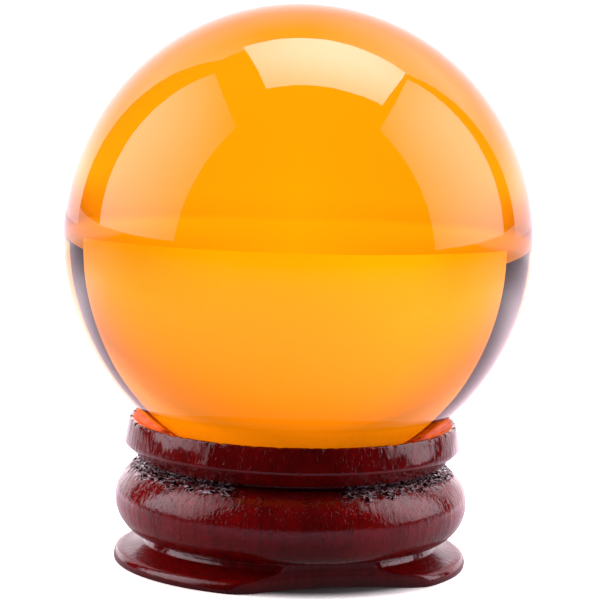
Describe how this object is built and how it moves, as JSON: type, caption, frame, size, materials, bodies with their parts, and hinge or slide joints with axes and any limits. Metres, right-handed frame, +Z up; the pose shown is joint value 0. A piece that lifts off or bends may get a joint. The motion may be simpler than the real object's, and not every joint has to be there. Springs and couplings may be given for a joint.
{
  "type": "crystal ball",
  "caption": "Solid amber glass sphere resting in the shallow dish of a small turned and lacquered wooden stand with a notched foot.",
  "frame": {"origin": "centre of the stand's foot on the surface it rests on, straight under the ball", "axes": "+Z up along the lathe axis of the stand through the ball's centre; -Y is the front, and the middle of the front notch in the foot is turned 17 degrees from it towards +X"},
  "size_m": [0.04, 0.04, 0.0479],
  "materials": {
    "amber_glass": "polished",
    "lacquered_wood": "gloss lacquer, red-brown stain, open pores"
  },
  "bodies": {
    "stand": {"turned_stand": "lacquered_wood"},
    "ball": {"glass_ball": "amber_glass"}
  },
  "joints": [
    {"name": "ball_lift", "type": "slide", "parent": "stand", "child": "ball", "axis": [0, 0, 1], "range_m": [0, 0.03]}
  ]
}
